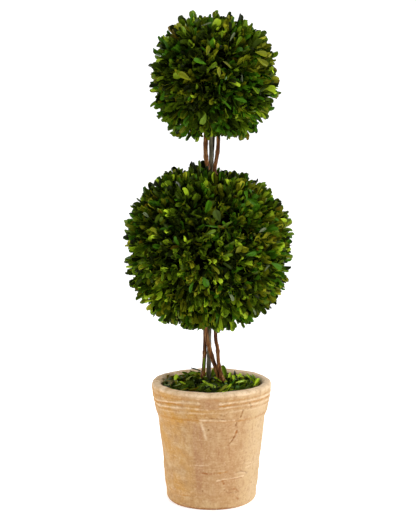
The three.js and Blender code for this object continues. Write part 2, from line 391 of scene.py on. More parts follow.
# ---- pot ----
# Height and radius up the outside, from the foot's corner to the rim.
POT_OUTSIDE = [
    (0, 53.2), (1.2, 55.2), (4, 56.6), (15, 57.2), (21, 58.6), (25, 59.2), (37, 59.6),
    (41, 60.6), (45, 60.9), (50, 60.5), (54, 60.9), (76, 63.6), (96, 65.8), (106, 67.0),
    (110, 68.2), (114.5, 70.2), (122, 71.6), (134, 73.7), (142, 74.6), (LIP_START, RIM_RADIUS),
]
POT_COLUMNS = 400

# Marks on the outside. Angles are in degrees from the front towards +X, heights in millimetres.
# Throwing rings: relief, width, colour, its strength, the height at the back, and at some angles.
# The cream on the ridges and the ochre along the grooves are partly the clay's own and partly
# painted highlight and painted shade; the ochre ring at 114 is painted shade under the band's step.
POT_RINGS = [
    (-0.4, 1.0, "ochre", 0.6, 142, (-70, 139), (-23, 142), (8, 142), (22, 140.9), (72, 142)),
    (0.45, 0.9, "cream", 0.8, 137, (-68, 132.5), (-31, 137.6), (-11, 138.2), (43, 138.6), (72, 139)),
    (-0.7, 1.3, "ochre", 1.0, 133, (-67, 130), (-40, 134.6), (-13, 134.0), (30, 136), (72, 135.6)),
    (0.4, 0.9, "cream", 0.6, 130, (-64, 127.1), (-32, 130.6), (-11, 131.4), (29, 133.4), (73, 132)),
    (-0.35, 0.9, "ochre", 0.5, 127, (-64, 124), (-32, 127.6), (-11, 128.6), (18, 131), (73, 128)),
    (0.2, 0.8, "cream", 0.4, 124, (-64, 121.5), (-32, 124.6), (-11, 125.6), (30, 127)),
    (-0.2, 1.2, "ochre", 0.8, 114, (-71, 113), (-33, 115.6), (-12, 115.9), (28, 114), (62, 115)),
]
# Strokes: relief, width, colour, its strength, and the path over the skin.
POT_STROKES = [
    (0.5, 0.8, "cream", 1.0, (-12, 117), (6, 116.4), (25, 115.6)),
    (-0.3, 0.7, "brown", 0.6, (-3, 120.2), (3, 119.4), (14, 117.8)),
    (0.25, 0.7, "cream", 1.0, (28, 138), (43, 139.4), (71, 139.8)),
    (0.0, 0.9, "cream", 0.9, (-60, 146.8), (-52, 147), (-45, 146.9)),
    (0.0, 0.7, "cream", 0.6, (-40, 146.9), (-24, 146.6), (-11, 145.2)),
    (-0.7, 0.6, "brown", 1.0, (32, 128), (31, 124), (30, 119)),
    (-0.6, 0.55, "brown", 0.9, (39, 135), (41.5, 131), (41.5, 128)),
    (-0.7, 0.7, "brown", 1.0, (26.5, 112.5), (26, 108.5)),
    (-0.2, 0.5, "brown", 0.5, (27, 117), (26.5, 112)),
    (-0.8, 0.9, "rust", 1.0, (27.5, 101), (26, 96), (24.5, 92)),
    (-0.8, 0.6, "brown", 1.0, (25.5, 96), (23, 90), (20, 86)),
    (-0.4, 0.8, "brown", 0.8, (9, 123.6), (13, 122.2)),
    (-0.3, 1.2, "rust", 0.7, (-16, 123.5), (-15, 121)),
    (-0.3, 1.0, "rust", 0.7, (-6, 124), (-5.5, 119.5)),
    (-0.5, 0.8, "brown", 0.9, (-3.5, 104.4), (-2.5, 103.6)),
    (-0.25, 1.0, "rust", 0.8, (8, 80), (8.3, 72)),
    (-0.15, 1.1, "rust", 0.5, (19.5, 84), (20, 70)),
    (-0.1, 1.0, "rust", 0.4, (1, 92), (4, 88)),
    (0.3, 1.4, "cream", 0.75, (-10.5, 115), (-8.5, 104), (-6, 92)),
    (-0.3, 1.0, "rust", 0.9, (-10, 48.4), (-2, 47.6), (4, 48.6)),
    (-0.2, 1.0, "ochre", 0.9, (4, 48.8), (12, 48.6), (18, 49.6)),
    (-0.15, 0.5, "brown", 0.4, (26, 47), (36, 48), (43, 46), (46, 43)),
    (0.4, 0.9, "cream", 0.6, (28, 45.4), (36, 46.4), (42, 44.6)),
    (0.4, 0.7, "cream", 0.7, (6, 38.8), (14, 40.4), (26, 40.6), (40, 41.4)),
    (-0.3, 0.6, "rust", 0.6, (12, 39), (24, 39.4), (36, 40)),
    (-0.4, 1.1, "rust", 0.9, (12.5, 38.6), (14.5, 34.5)),
    (-0.2, 0.6, "brown", 0.45, (15, 27), (20, 22.4), (27, 21.4), (32, 22)),
    (-0.2, 0.7, "rust", 0.6, (24, 27), (30, 26), (34, 22)),
    (-0.4, 0.8, "brown", 0.8, (-11, 26), (-10.6, 25)),
    (-0.3, 0.8, "brown", 0.5, (-9, 44.6), (-7, 44.2)),
    (-0.3, 1.0, "rust", 0.7, (33, 14), (35, 12)),
    (-0.2, 0.9, "rust", 0.5, (1, 14), (5, 12)),
    (0.1, 0.6, "cream", 0.6, (-22, 58), (-4, 58.6)),
    (0.15, 0.6, "cream", 0.7, (40, 57), (56, 55), (70, 57)),
    (0.15, 0.6, "cream", 0.7, (44, 51), (58, 52.5), (72, 50)),
    (-0.2, 0.5, "ochre", 0.8, (62, 84), (76, 85.5)),
    (-0.2, 0.5, "ochre", 0.8, (60, 79.5), (74, 80.5)),
    (-0.2, 0.8, "ochre", 0.7, (-66, 20), (-40, 16), (-28, 17)),
    (-0.8, 0.7, "brown", 1.0, (130, 120), (134, 104), (128, 92)),
    (-0.7, 0.7, "brown", 0.9, (-138, 88), (-144, 74), (-141, 66)),
    (0.5, 0.9, "cream", 0.9, (150, 50), (166, 47), (179, 49)),
    (-0.4, 1.1, "rust", 0.8, (-160, 118), (-156, 108)),
    (-0.5, 0.8, "brown", 0.8, (100, 60), (101, 58)),
]
SEAM_ANGLE = -11


def wrapped(degrees):
    """An angle brought to between -180 and 180 degrees."""
    return (degrees + 180) % 360 - 180


def along_path(angle, height, radius, path):
    """Distance in millimetres over the pot's skin to a path of (angle, height) points."""
    one_degree = np.radians(1) * radius
    nearest = np.full(np.broadcast(angle, height).shape, 1e9)
    for (a0, h0), (a1, h1) in zip(path, path[1:]):
        x = wrapped(angle - a0) * one_degree
        z = height - h0
        dx, dz = (a1 - a0) * np.mean(one_degree), h1 - h0
        share = np.clip((x * dx + z * dz) / (dx * dx + dz * dz), 0, 1)
        nearest = np.minimum(nearest, np.hypot(x - share * dx, z - share * dz))
    return nearest


def blurred(field, reach):
    """The field averaged over neighbouring rows and columns."""
    for _ in range(2):
        field = sum(np.roll(field, k, axis=1) for k in range(-reach, reach + 1)) / (2 * reach + 1)
        padded = np.pad(field, ((reach, reach), (0, 0)), mode="edge")
        field = sum(padded[k : k + len(field)] for k in range(2 * reach + 1)) / (2 * reach + 1)
    return field


def inner_radius(height):
    """Radius of the pot's inner wall."""
    share = (height - POT_FLOOR) / (POT_HEIGHT - POT_FLOOR)
    return INNER_FOOT_RADIUS + (MOUTH_RADIUS - INNER_FOOT_RADIUS) * share


def pot_rows():
    """Height and radius of each row, from the underside out, up, over the lip and down inside.

    Also the first row of the outside and the first inside the mouth.
    """
    heights, radii = zip(*POT_OUTSIDE)
    foot = [(0, r) for r in (6, 18, 30, 42, 50, 53)]
    outside = [(z, np.interp(z, heights, radii)) for z in np.arange(0, LIP_START, 0.85)]
    lip = []
    middle, half = (RIM_RADIUS + MOUTH_RADIUS) / 2, (RIM_RADIUS - MOUTH_RADIUS) / 2
    for turn in np.linspace(0, math.pi, 26):
        out = math.copysign(abs(math.cos(turn)) ** 0.72, math.cos(turn))
        rise = (POT_HEIGHT - LIP_START) * math.sin(turn) ** 0.8
        lip.append((LIP_START + rise, middle + half * out))
    inside = [(z, inner_radius(z)) for z in (144, 142, 139, 135, 130, 110, 80, 50, 25, 14)]
    floor = [(POT_FLOOR, r) for r in (44, 30, 16, 5)]
    mouth = len(foot + outside + lip)
    return np.array(foot + outside + lip + inside + floor), len(foot), mouth


class PotSkin:
    """The pot's skin as a grid: rows up its profile, columns round it.

    relief is in millimetres along the profile's normal, and fields hold how strong each colour is.
    """

    def __init__(self):
        self.rows, first, mouth = pot_rows()
        self.height, self.radius = self.rows[:, :1], self.rows[:, 1:]
        self.degrees = np.linspace(-180, 180, POT_COLUMNS, endpoint=False)[None, :]
        self.turn = np.radians(self.degrees)
        self.even = self.around(self.radius, self.height)

        # Zones, from 0 to 1: the outside, its wall without the lip, the rim, the lip, the inside
        # and the rubbed patch under the rim, right of the seam.
        order = np.arange(len(self.rows))[:, None]
        self.under = order < first
        self.outer = between(order, first, mouth - 3, 3)
        self.wall = self.outer * between(self.height, 1, 146, 4)
        self.rim = between(self.height, 139, 170, 6) * between(order, first, mouth + 2, 4)
        self.lip = between(self.height, 146, 170, 3) * between(order, first, mouth, 2)
        self.inner = between(order, mouth - 2, len(self.rows) + 9, 4)
        self.beside_seam = wrapped(self.degrees - SEAM_ANGLE)
        self.patch = between(self.beside_seam, 0, 18, 3) * between(self.height, 131, 144.5, 3)

        # Dents, then grains and brush lines on the wall. wander makes the marks uneven.
        self.relief = 0.42 * self.noise(30, 1) + 0.2 * self.noise(9, 2)
        grain = 0.12 * self.noise(2.6, 5) + 0.1 * self.noise(1.6, 6, (0.16, 0.16, 1))
        self.relief += grain * self.wall
        self.wander = 0.5 * self.noise(16, 11, (1, 1, 0.3)) + 0.35 * self.noise(4, 12)
        self.fields = {
            name: np.zeros_like(self.relief) for name in ("ochre", "cream", "rust", "brown")
        }

    def around(self, radius, height):
        """Points at that radius and height round the pot."""
        x, y = radius * np.sin(self.turn), -radius * np.cos(self.turn)
        return np.stack(np.broadcast_arrays(x, y, height), axis=-1)

    def noise(self, size, seed, squeeze=(1, 1, 1)):
        return smooth_noise(self.even * squeeze, size, seed)

    def strengthen(self, name, values):
        """Makes a colour at least that strong."""
        self.fields[name] = np.maximum(self.fields[name], values)

    def add_rings(self):
        """Throwing rings: broken by wear, whole at the left, faint in front and rubbed off the patch."""
        worn = np.clip(0.8 + 0.8 * self.noise(11, 13), 0.3, 1)
        worn = np.maximum(worn, 0.9 * between(self.degrees, -90, -28, 16))
        worn = worn * (1 - 0.95 * self.patch) * self.wall
        faint = 1 - 0.6 * between(self.degrees, -8, 27, 12)
        for lift, width, colour, strength, back, *way in POT_RINGS:
            angles, heights = zip((-180, back), *way, (180, back))
            away = self.height + self.wander - np.interp(self.degrees, angles, heights)
            mark = bell(away, width) * worn
            self.relief += lift * mark
            # Ring colours: cream ridges partly painted highlight, ochre grooves partly painted shade.
            self.strengthen(colour, (strength * faint if colour == "cream" else strength) * mark)

    def add_strokes(self):
        """Cracks, scratches and chips, of uneven depth."""
        broken = np.clip(0.8 + 1.1 * self.noise(5, 14), 0.35, 1)
        for lift, width, colour, strength, *path in POT_STROKES:
            away = along_path(self.degrees, self.height, self.radius, path) + self.wander
            mark = bell(np.maximum(away, 0), width) * self.outer * broken
            self.relief += lift * mark
            self.strengthen(colour, strength * mark)

    def shaped(self):
        """The grid's points moved by the relief, with an uneven rim and a flat underside."""
        tangent = np.gradient(self.rows, axis=0)
        tangent /= np.maximum(np.linalg.norm(tangent, axis=1, keepdims=True), 1e-6)
        out_up, out_round = -tangent[:, 1:], tangent[:, :1]
        rim_wave = 0.55 * self.noise(26, 21, (1, 1, 0)) * between(self.height, 128, 200, 16)
        height = self.height + (self.relief * out_up + rim_wave)
        flat = self.under | (self.height < 0.01)
        height = np.where(flat, self.height, np.maximum(height, 0))
        drift = 0.5 * self.noise(34, 3)
        return self.around(self.radius + self.relief * out_round + drift * self.wall, height)

    def lay_colours(self, points):
        """Where the colours lie besides the marks' own, painted shade and light among them."""
        height, degrees = self.height, self.degrees
        # Ochre in the hollows of the relief and cream on its bumps: partly the clay's dirt and wear,
        # partly painted shade in the hollows and painted highlights on the bumps.
        curve = self.relief - blurred(self.relief, 3)
        self.strengthen("ochre", np.clip(-curve * 2.2 - 0.15, 0, 0.8) * self.wall)
        self.strengthen("cream", np.clip(curve * 2.8 - 0.15, 0, 0.8) * self.wall)
        # Painted shade: a dark line of ochre, rust and brown round the foot, on the left and front away
        # from the key lamp, where the pot meets the floor.
        painted_foot_shade = bell(height, 2.6) * between(degrees, -130, 30, 40) * self.outer
        self.strengthen("ochre", painted_foot_shade)
        self.strengthen("rust", 0.5 * painted_foot_shade)
        self.strengthen("brown", 0.8 * painted_foot_shade)
        # The lip is painted cream all over: partly the pale clay of the lip, partly painted light on its
        # upward-facing top.
        self.strengthen("cream", self.lip * (0.85 + 0.4 * smooth_noise(points, 9, 17)))

        # Ochre stains at the left, at the back and on the band of rings.
        left = between(degrees, -120, -22, 40)
        back = bell(wrapped(degrees - 175), 60)
        band = between(degrees, -75, -11, 8) * between(height, 112, 134, 6)
        band = np.maximum(band, between(degrees, -11, 8, 5) * between(height, 119, 131, 5))
        self.fields["stain"] = np.clip(0.75 * left + 0.3 * back + 0.5 * band, 0, 1) * self.outer

        # Pinkish clay: the middle of the front, the patch, a strip down the seam and the inside.
        middle = 0.45 * between(degrees, -20, 36, 24) * between(height, 16, 118, 24)
        strip = between(degrees, -20, -9, 5) * between(height, 24, 112, 14)
        self.fields["pink"] = np.maximum.reduce([middle, self.patch * 0.95, 0.95 * strip])
        self.strengthen("pink", self.inner)
        # Painted light: the right side, where the key lamp falls, is painted paler.
        self.fields["painted_light"] = np.broadcast_to(between(degrees, 42, 150, 44), self.relief.shape)


def build_pot():
    """The pot: rings, a sunken patch, an uneven rim, strokes and a seam up the band."""
    pot = PotSkin()
    pot.add_rings()
    pot.relief -= 0.35 * pot.patch * pot.wall
    pot.relief += 0.5 * pot.noise(12, 16) * pot.rim
    pot.add_strokes()
    seam = bell(pot.beside_seam * 1.2, 0.7) * between(pot.height, 116, 139, 4)
    pot.relief -= 0.35 * seam * pot.wall
    points = pot.shaped()
    pot.lay_colours(points)

    # The skin's quads, closed by fans of triangles round two last vertices, under and inside.
    count, columns = len(pot.rows), POT_COLUMNS
    faces = [tuple(face) for face in grid_faces(count, columns, True)]
    under, inside = count * columns, count * columns + 1
    last = (count - 1) * columns
    for k in range(columns):
        after = (k + 1) % columns
        faces.append((under, after, k))
        faces.append((inside, last + k, last + after))
    vertices = np.concatenate([points.reshape(-1, 3), [[0, 0, 0], [0, 0, POT_FLOOR]]])
    piece = make_piece("pot_shell", vertices, faces, TERRACOTTA, ["pot"])
    for name, field in pot.fields.items():
        values = np.clip(np.append(field.ravel(), [0, 0]), 0, 1).astype(np.float32)
        piece.data.attributes.new(name, "FLOAT", "POINT").data.foreach_set("value", values)


# ---- trunk and stems ----
def rounded(points, spacing):
    """Points evenly along a Catmull-Rom curve, with the share of its length at each."""
    way = np.array(points, float)
    padded = np.concatenate([[2 * way[0] - way[1]], way, [2 * way[-1] - way[-2]]])
    fine = []
    for k in range(len(way) - 1):
        p0, p1, p2, p3 = padded[k : k + 4]
        t = np.linspace(0, 1, 24, endpoint=False)[:, None]
        square, cube = 2 * p0 - 5 * p1 + 4 * p2 - p3, 3 * p1 - p0 - 3 * p2 + p3
        fine.append(0.5 * (2 * p1 + (p2 - p0) * t + square * t**2 + cube * t**3))
    fine = np.concatenate([*fine, way[-1:]])
    run = np.append(0, np.cumsum(np.linalg.norm(np.diff(fine, axis=0), axis=1)))
    count = max(4, round(run[-1] / spacing))
    share = np.linspace(0, 1, count)
    return np.stack([np.interp(share * run[-1], run, fine[:, k]) for k in range(3)], -1), share


def tube(centres, radii, sides):
    """Vertices (rings, sides, 3) of a tube. radii has one row for each ring."""
    forward = np.gradient(centres, axis=0)
    forward /= np.linalg.norm(forward, axis=1, keepdims=True)
    side = np.cross(forward, np.array([0.0, 1.0, 0.0]))
    side /= np.linalg.norm(side, axis=1, keepdims=True)
    other = np.cross(forward, side)
    turn = circle(sides)[None, :, None]
    ring = side[:, None] * np.cos(turn) + other[:, None] * np.sin(turn)
    return centres[:, None] + ring * radii[:, :, None]


def build_limb(name, slot, foot, tip, knots, points, seed):
    """A knotty, uneven skin with streaks along it."""
    sides = 20
    centres, share = rounded(points, 1.3)
    radii = foot + (tip - foot) * share
    for height, swell in knots:
        radii = radii + swell * bell(centres[:, 2] - height, 2.2)
    centres = centres + 0.3 * np.stack(
        [smooth_noise(centres, 15, seed + axis) for axis in (1, 2, 3)], -1
    )
    skin = tube(centres, np.repeat(radii[:, None], sides, 1), sides)
    streaks = 0.16 * smooth_noise(skin * (1, 1, 0.12), 1.1, seed)
    relief = streaks + 0.14 * smooth_noise(skin, 5, seed + 7)
    skin = tube(centres, radii[:, None] + relief, sides)[centres[:, 2] > FILL_TOP + 0.3]
    make_piece(name + "_bark", skin, closed_faces(len(skin), sides), BARK[slot], [name])


LIMB_POINTS = np.concatenate([rounded(points, 3)[0] for *_, points in LIMBS.values()])


def limb_distance(points):
    """Distance from each point to the nearest trunk or stem."""
    flat = np.asarray(points, float).reshape(-1, 3)
    nearest = [np.linalg.norm(LIMB_POINTS - point, axis=1).min() for point in flat]
    return np.array(nearest).reshape(np.shape(points)[:-1])


# ---- leaves ----
# A boxwood leaf's outline from root to blunt tip: share of the length and of the half width.
LEAF_OUTLINE = [(0, 0.1), (0.15, 0.36), (0.36, 0.74), (0.58, 0.98), (0.78, 1), (0.93, 0.78), (1, 0.42)]
# Places across it, in half widths. The midrib's are doubled, so that the two halves meet in a crease.
LEAF_ACROSS = np.array([-1, -0.82, 0, 0, 0.82, 1])
# The midrib's place among them, and the three that are looked at to keep leaves off the stems.
MIDRIB = 2
EDGES_AND_MIDRIB = [0, MIDRIB, 5]
# How far leaves and twigs keep from the middle of the trunk and stems, on the balls and below.
CLEARANCE = 3.4
LITTER_CLEARANCE = 3.0
# How far the grown leaves keep from those that stand out.
APART = 4.5
LITTER_APART = 5
# The share of a spray's leaves that have the spray's own colour.
SPRAY_SHARE = 0.35


class Leaves:
    """Leaves gathered one by one, then bent and joined by colour."""

    def __init__(self):
        self.rows = []

    def add(self, foot, along, face, length, width, bend, cup, fold, wave, colour):
        self.rows.append((*foot, *along, *face, length, width, bend, cup, fold, wave, colour))

    def points(self):
        """Vertices (leaves, rows, columns, 3) in millimetres.

        t is the share of the length, w that of the half width, and s the place across.
        """
        table = np.array(self.rows, float)
        foot, along, face = (table[:, None, None, k : k + 3] for k in (0, 3, 6))
        length, width, bend, cup, fold, wave = (table[:, k, None, None] for k in range(9, 15))
        side = np.cross(along, face)
        t, w = (np.array(column)[None, :, None] for column in zip(*LEAF_OUTLINE))
        s = LEAF_ACROSS[None, None, :]
        bend = np.where(np.abs(bend) < 1e-3, 1e-3, bend)
        cup = np.maximum(cup, 1e-3)
        ahead = length * np.sin(bend * t) / bend
        lift = length * (1 - np.cos(bend * t)) / bend
        half = width / 2 * w
        out, up = half * np.sin(cup * np.abs(s)) / cup, half * (1 - np.cos(cup * s)) / cup
        across = np.sign(s) * (out * np.cos(fold) - up * np.sin(fold))
        rise = out * np.sin(fold) + up * np.cos(fold) + half * wave * s * np.sin(TAU * 0.8 * t)
        turn = bend * t
        ahead, lift = ahead - rise * np.sin(turn), lift + rise * np.cos(turn)
        return foot + along * ahead[..., None] + face * lift[..., None] + side * across[..., None]

    def build(self, name, replaced, keep):
        """One joined mesh for each colour, of the leaves that keep, given their points, lets stay."""
        points = self.points()
        kept = keep(points)
        colours = np.array([row[-1] for row in self.rows], int)
        rows, columns = len(LEAF_OUTLINE), len(LEAF_ACROSS)
        # One leaf's faces, without those between the doubled midrib.
        one = grid_faces(rows, columns, False).reshape(rows - 1, columns - 1, 4)
        one = np.delete(one, columns // 2 - 1, axis=1).reshape(-1, 4)
        for k, colour in enumerate(COLOUR_NAMES):
            some = points[kept & (colours == k)]
            if not len(some):
                continue
            faces = repeated(one, rows * columns, len(some))
            make_piece(f"{name}_{colour}", some, faces, LEAF[colour], replaced)


def clear_of_limbs(leaf_points, clearance):
    """Whether each leaf's root, middle and tip keep clear of the trunk and stems."""
    probes = leaf_points[:, ::3][:, :, EDGES_AND_MIDRIB]
    return limb_distance(probes).min(axis=(1, 2)) > clearance


def apart_from(middles, shown, distance):
    """Whether each leaf's middle keeps away from the points of the leaves that stand out."""
    return np.linalg.norm(middles[:, None] - shown[None], axis=-1).min(axis=1) > distance


def unit(vector):
    return vector / np.linalg.norm(vector)


def square_to(direction, hint):
    """A unit vector at right angles to direction, near hint."""
    return unit(hint - direction * np.dot(hint, direction))


def any_square(direction, turn):
    """A unit vector at right angles to direction, turned about it."""
    hint = np.array([0.0, 0.0, 1.0]) if abs(direction[2]) < 0.9 else np.array([1.0, 0.0, 0.0])
    first = square_to(direction, hint)
    return first * math.cos(turn) + np.cross(direction, first) * math.sin(turn)


def leant(direction, angle, towards):
    """The direction turned by angle towards another at right angles to it."""
    return direction * math.cos(angle) + towards * math.sin(angle)


# ---- clipped balls ----
# How common each leaf colour is, and where on a ball (right, towards the back, up) it gathers.
COMMON = {
    "deep": 2.4, "dark": 2.8, "mid": 3.0, "fresh": 1.6, "bright": 0.8,
    "olive": 1.3, "gold": 0.25, "brown": 0.1, "painted_light": 0.0,
}
# The gathered patches are partly the box's own olive, yellowed, browned and fresh growth, and partly
# painted light: lighter colours where the ball is lit, on its right and along its lower and left edges,
# and deep, dark ones as painted shade on parts of its front.
GATHERED = {
    "lower": [
        ((0.75, -0.5, 0.12), 0.45, {"olive": 4, "gold": 1.6, "brown": 0.4}),
        ((0.85, -0.45, -0.22), 0.22, {"fresh": 9, "bright": 1}),
        ((0.5, -0.65, 0.5), 0.25, {"fresh": 6}),
        ((0.6, -0.2, 0.75), 0.3, {"olive": 4, "gold": 1.6, "brown": 0.8}),
        ((-0.5, -0.55, -0.65), 0.4, {"olive": 3, "bright": 2.5, "gold": 1.2, "mid": 3}),
        ((0.05, -0.75, -0.7), 0.35, {"bright": 2.2, "mid": 3, "olive": 2}),
        ((-0.95, -0.3, 0.08), 0.25, {"mid": 5, "fresh": 3}),
        ((-0.35, -0.85, 0.4), 0.45, {"deep": 5, "dark": 4}),
        ((0.1, -0.98, 0), 0.35, {"bright": 3, "mid": 3, "gold": 0.8}),
        ((-0.15, -0.95, -0.35), 0.25, {"dark": 4, "deep": 2}),
    ],
    "upper": [
        ((0.1, -0.8, -0.3), 0.7, {"deep": 2, "dark": 2.5, "fresh": 1.5}),
        ((0.7, -0.55, 0.35), 0.4, {"olive": 4, "gold": 1.2}),
        ((-0.55, -0.7, 0.35), 0.5, {"deep": 8, "dark": 3}),
        ((-0.45, -0.88, 0.0), 0.25, {"olive": 5, "gold": 1}),
        ((0.55, -0.8, -0.2), 0.3, {"fresh": 6}),
        ((-0.4, -0.5, -0.75), 0.4, {"olive": 3, "mid": 3, "dark": 2}),
        ((0.4, -0.5, -0.75), 0.35, {"fresh": 2.5, "mid": 4, "bright": 1}),
        ((-0.95, -0.2, -0.25), 0.3, {"mid": 4, "fresh": 3}),
    ],
}


def colour_odds(site, ball):
    """Chances of each colour for a spray at that direction from the ball's centre."""
    odds = dict(COMMON)
    for place, spread, more in GATHERED[ball["name"]]:
        share = math.exp(-(np.linalg.norm(site - unit(np.array(place))) / spread) ** 2)
        for colour, weight in more.items():
            odds[colour] += share * weight
    values = np.array([odds[colour] for colour in COLOUR_NAMES])
    return values / values.sum()


# Leaves that stand out on the front: foot and tip (right and up from the ball's centre),
# width and colour. The narrow whitish ones are painted glints of shine.
STANDING_OUT = {
    "lower": [
        ((-3, 51), (2, 66), 11, "fresh"),
        ((14, 42), (8, 56), 10, "dark"),
        ((-3, 28), (9, 33), 5, "mid"),
        ((14, 35), (29, 41), 4.5, "mid"),
        ((-5, 38), (11, 37), 2.5, "fresh"),
        ((32, 6), (40, 14), 6.5, "olive"),
        ((44, 3), (56, 5), 6.5, "fresh"),
        ((17, 2), (28, 5), 5, "mid"),
        ((3, -7), (11, -19), 7.5, "olive"),
        ((47, 67), (58, 60), 7, "fresh"),
        ((46, 64), (45, 76), 5, "fresh"),
        ((75, -9), (88, -17), 7.5, "fresh"),
        ((66, -19), (73, -10), 2, "painted_light"),
        ((23, -39), (30, -51), 5, "painted_light"),
        ((53, -65), (58, -75), 4, "painted_light"),
        ((-73, -18), (-78, -28), 3, "mid"),
        ((-53, -14), (-54, -28), 4, "mid"),
        ((-60, 26), (-67, 34), 7, "olive"),
        ((-17, -28), (-22, -40), 6, "fresh"),
        ((-6, -22), (0, -32), 8, "fresh"),
        ((-70, 44), (-77, 50), 5, "painted_light"),
        ((60, 28), (68, 33), 5, "painted_light"),
        ((-9, 96), (-10, 108), 4, "mid"),
    ],
    "upper": [
        ((-8, 25), (-6, 36), 6, "olive"),
        ((-9, 15), (-23, 20), 8, "fresh"),
        ((19, 42), (25, 52), 3.5, "painted_light"),
        ((26, 36), (33, 47), 6, "mid"),
        ((-27, -3), (-40, 5), 9, "olive"),
        ((7, 0), (5, 12), 5, "olive"),
        ((10, 19), (19, 10), 5, "olive"),
        ((26, 13), (35, 23), 6, "olive"),
        ((-9, -42), (-14, -55), 7.5, "mid"),
        ((9, -25), (19, -38), 5, "fresh"),
        ((24, -24), (38, -30), 7, "fresh"),
        ((51, 23), (64, 14), 7, "olive"),
        ((49, 30), (63, 27), 8, "olive"),
        ((-33, 49), (-36, 61), 5, "mid"),
        ((45, -10), (53, -18), 5, "mid"),
        ((33, 5), (34, -6), 2, "painted_light"),
        ((-58, -14), (-63, -26), 6, "fresh"),
        ((-16, 60), (-3, 64), 2.5, "painted_light"),
        ((-8, 8), (3, 17), 7, "mid"),
    ],
}


def on_front(ball, across, up, depth):
    """The point of the ball's front that far right, up and below the leaf tips."""
    away = math.sqrt(max(0, (ball["reach"] - depth) ** 2 - across**2 - up**2))
    return np.array(ball["centre"]) + (across, -away, up)


def add_standing_out(leaves, ball, rng):
    """Adds the leaves that stand out and returns a point on each."""
    middles = []
    for foot, tip, width, colour in STANDING_OUT[ball["name"]]:
        start, end = on_front(ball, *foot, 9), on_front(ball, *tip, 1.5)
        along = unit(end - start)
        face = square_to(along, np.array([0.25, -1, 0.35]) + 0.35 * rng.normal(0, 1, 3))
        leaves.add(
            foot=start, along=along, face=face, length=np.linalg.norm(end - start), width=width,
            bend=rng.uniform(-0.6, 0.3), cup=0.5, fold=rng.uniform(0.1, 0.6),
            wave=rng.normal(0, 0.2), colour=COLOUR_NAMES.index(colour),
        )
        middles.append((start + 2 * end) / 3)
    return np.array(middles)


# The pairs of leaves down a spray: how far below its tip, how far they lean out, and the share
# that is folded along the midrib.
LEAF_PAIRS = [
    (0.0, 0.07, 0.15), (3.0, 0.18, 0.25), (7.0, 0.32, 0.45), (10.5, 0.6, 0.5), (13.5, 0.9, 0.5),
    (5.0, 1.25, 0.85),
]
# Twigs: radius at the root, and how deep they are rooted in the dark inside.
TWIG_RADIUS = 0.9
TWIG_ROOT = 5


def swell_at(site, ball):
    """How much further the leaf tips reach in that direction from the ball's centre."""
    turn = math.degrees(math.atan2(site[2], site[0]))
    return np.interp(turn, 20 * np.arange(18), ball["swell"], period=360) * (1 - site[1] ** 2)


def grow_spray(leaves, ball, index, rng):
    """Adds the leaves of one spray of the even spiral, and returns its twig's root and tip."""
    height = 1 - (2 * index + 1) / ball["sprigs"]
    even = on_spiral(index, math.sqrt(1 - height * height), height)
    site = unit(even + rng.normal(0, 0.045, 3))
    axis = unit(site + rng.normal(0, 0.19, 3))
    odds = colour_odds(site, ball)
    spray = rng.choice(len(odds), p=odds)
    mean = ball["leaf"] * rng.uniform(0.85, 1.15)
    tip = ball["reach"] - ball["spread"] * rng.uniform() ** 1.5 + swell_at(site, ball)
    roll, spread = rng.uniform(0, TAU), rng.uniform(0.5, 1.8)
    origin = np.array(ball["centre"]) + site * (tip - mean)
    for level, (down, lean, folding) in enumerate(LEAF_PAIRS):
        for side in range(2):
            turn = roll + level * math.pi / 2 + side * math.pi + rng.normal(0, 0.3)
            towards = any_square(axis, turn)
            along = leant(axis, spread * lean + rng.normal(0, 0.22), towards)
            face = square_to(along, -towards + 0.7 * rng.normal(0, 1, 3))
            length = mean * rng.uniform(0.82, 1.12)
            folded = rng.uniform() < folding
            leaves.add(
                foot=origin - axis * (down + rng.uniform(-0.6, 0.6)), along=along, face=face,
                length=length, width=length * rng.uniform(0.44, 0.58), bend=rng.normal(0, 0.2),
                cup=rng.uniform(0.3, 0.9),
                fold=rng.uniform(0.8, 1.3) if folded else rng.uniform(0.15, 0.75),
                wave=rng.normal(0, 0.1),
                colour=spray if rng.uniform() < SPRAY_SHARE else rng.choice(len(odds), p=odds),
            )
    return origin - axis * (tip - mean - ball["core"] + TWIG_ROOT), origin


def build_twigs(node, twigs):
    """Four-sided, tapering twigs, left out where they would meet a stem."""
    roots, tips = (np.array(ends) for ends in zip(*twigs))
    clear = limb_distance(np.stack([roots, (roots + tips) / 2, tips], 1)).min(axis=1) > CLEARANCE
    rings, sides = 4, 4
    steps = np.linspace(0, 1, rings)
    turn = circle(sides)[:, None]
    radii = TWIG_RADIUS * (1 - 0.5 * steps)
    skins = []
    for root, tip in zip(roots[clear], tips[clear]):
        centres = root + (tip - root) * steps[:, None]
        axis = unit(tip - root)
        first = any_square(axis, 0)
        second = np.cross(axis, first)
        ring = first * np.cos(turn) + second * np.sin(turn)
        skins.append(centres[:, None] + ring[None] * radii[:, None, None])
    faces = repeated(grid_faces(rings, sides, True), rings * sides, len(skins))
    make_piece(node + "_twigs", skins, faces, TWIG, [node])


def build_core(node, ball):
    """A near-black shell that the twigs stand out of: painted shade, standing in for the shade deep
    inside the ball.
    """
    rows, columns = 60, 96
    fall = np.linspace(0.02, math.pi - 0.02, rows)[:, None]
    shell = round_points(np.sin(fall), circle(columns), np.cos(fall))
    lumps = 2.4 * smooth_noise(shell * 80, 11, 4)
    radius = ball["core"] - 3 + lumps + 1.2 * smooth_noise(shell * 80, 4, 5)
    skin = np.array(ball["centre"]) + shell * radius[..., None]
    make_piece(node + "_core", skin, closed_faces(rows, columns, True), PAINTED_SHADE, [node])


